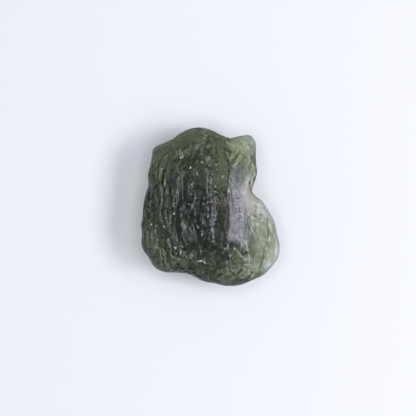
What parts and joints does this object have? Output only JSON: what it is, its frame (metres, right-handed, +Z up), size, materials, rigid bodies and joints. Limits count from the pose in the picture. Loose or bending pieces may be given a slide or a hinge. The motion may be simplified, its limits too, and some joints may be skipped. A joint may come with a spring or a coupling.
{
  "type": "raw moldavite",
  "caption": "Raw natural green glass stone: a flattened, furrowed lump with a crest, a smooth scoop, a thin lobe and a notch, lying on a small flat face.",
  "frame": {"origin": "on the surface the stone lies on, under the middle of its outline seen from above", "axes": "+Z up, +Y along the stone's long way towards the broad top end, +X along its short way towards the thin lobe and the notch"},
  "size_m": [0.0208, 0.0239, 0.0086],
  "materials": {
    "moldavite_glass": "naturally etched, satin to glassy, see-through bottle green"
  },
  "bodies": {
    "root": {"moldavite": "moldavite_glass"}
  },
  "joints": []
}
